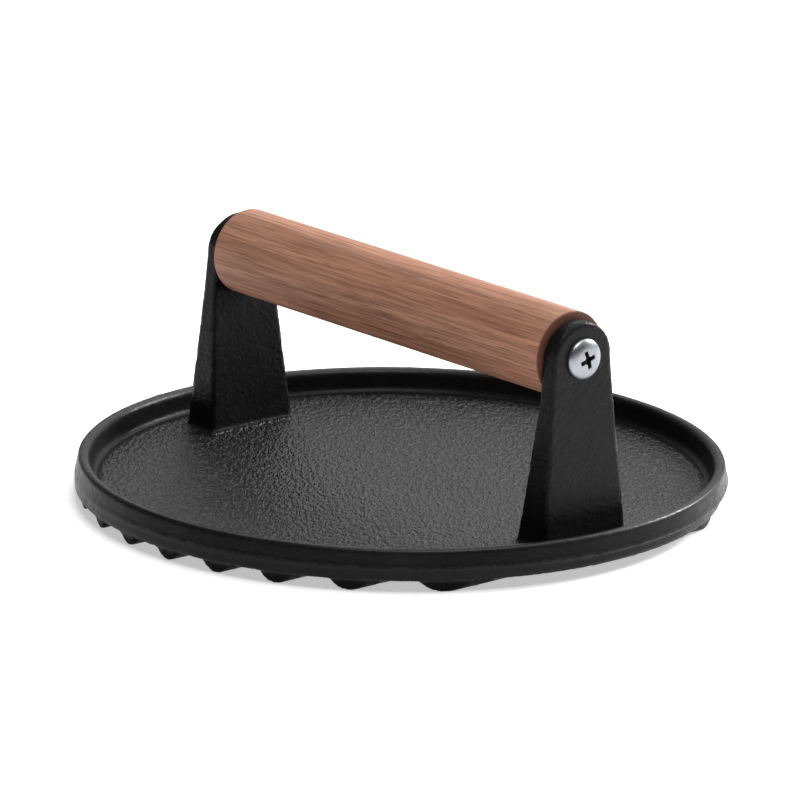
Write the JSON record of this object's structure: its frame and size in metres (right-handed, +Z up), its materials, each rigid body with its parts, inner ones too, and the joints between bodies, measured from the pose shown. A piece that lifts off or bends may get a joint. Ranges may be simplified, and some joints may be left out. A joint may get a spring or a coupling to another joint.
{
  "type": "bacon press",
  "caption": "Round cast iron griddle press with a ribbed underside, a raised rim and a turning wooden grip held between two cast posts.",
  "frame": {"origin": "centre of the plate, on the plane that the ribs rest on", "axes": "+X along the grip, from the hidden left screw to the right screw; +Y across the grip, along the ribs; +Z up"},
  "size_m": [0.19, 0.19, 0.0717],
  "materials": {
    "cast_iron": "black seasoned sand casting, semi-matt, with a worn rim",
    "beech": "reddish-brown stained beech, satin",
    "sleeve_steel": "drawn steel tube, zinc plated",
    "screw_steel": "bright zinc plated steel"
  },
  "bodies": {
    "press": {"press_casting": "cast_iron", "handle_sleeve": "sleeve_steel", "screw_right": "screw_steel", "screw_left": "screw_steel"},
    "grip": {"wooden_grip": "beech"}
  },
  "joints": [
    {"name": "grip_turn", "type": "hinge", "parent": "press", "child": "grip", "pos_m": [0, 0, 0.059], "axis": [1, 0, 0], "continuous": true}
  ]
}
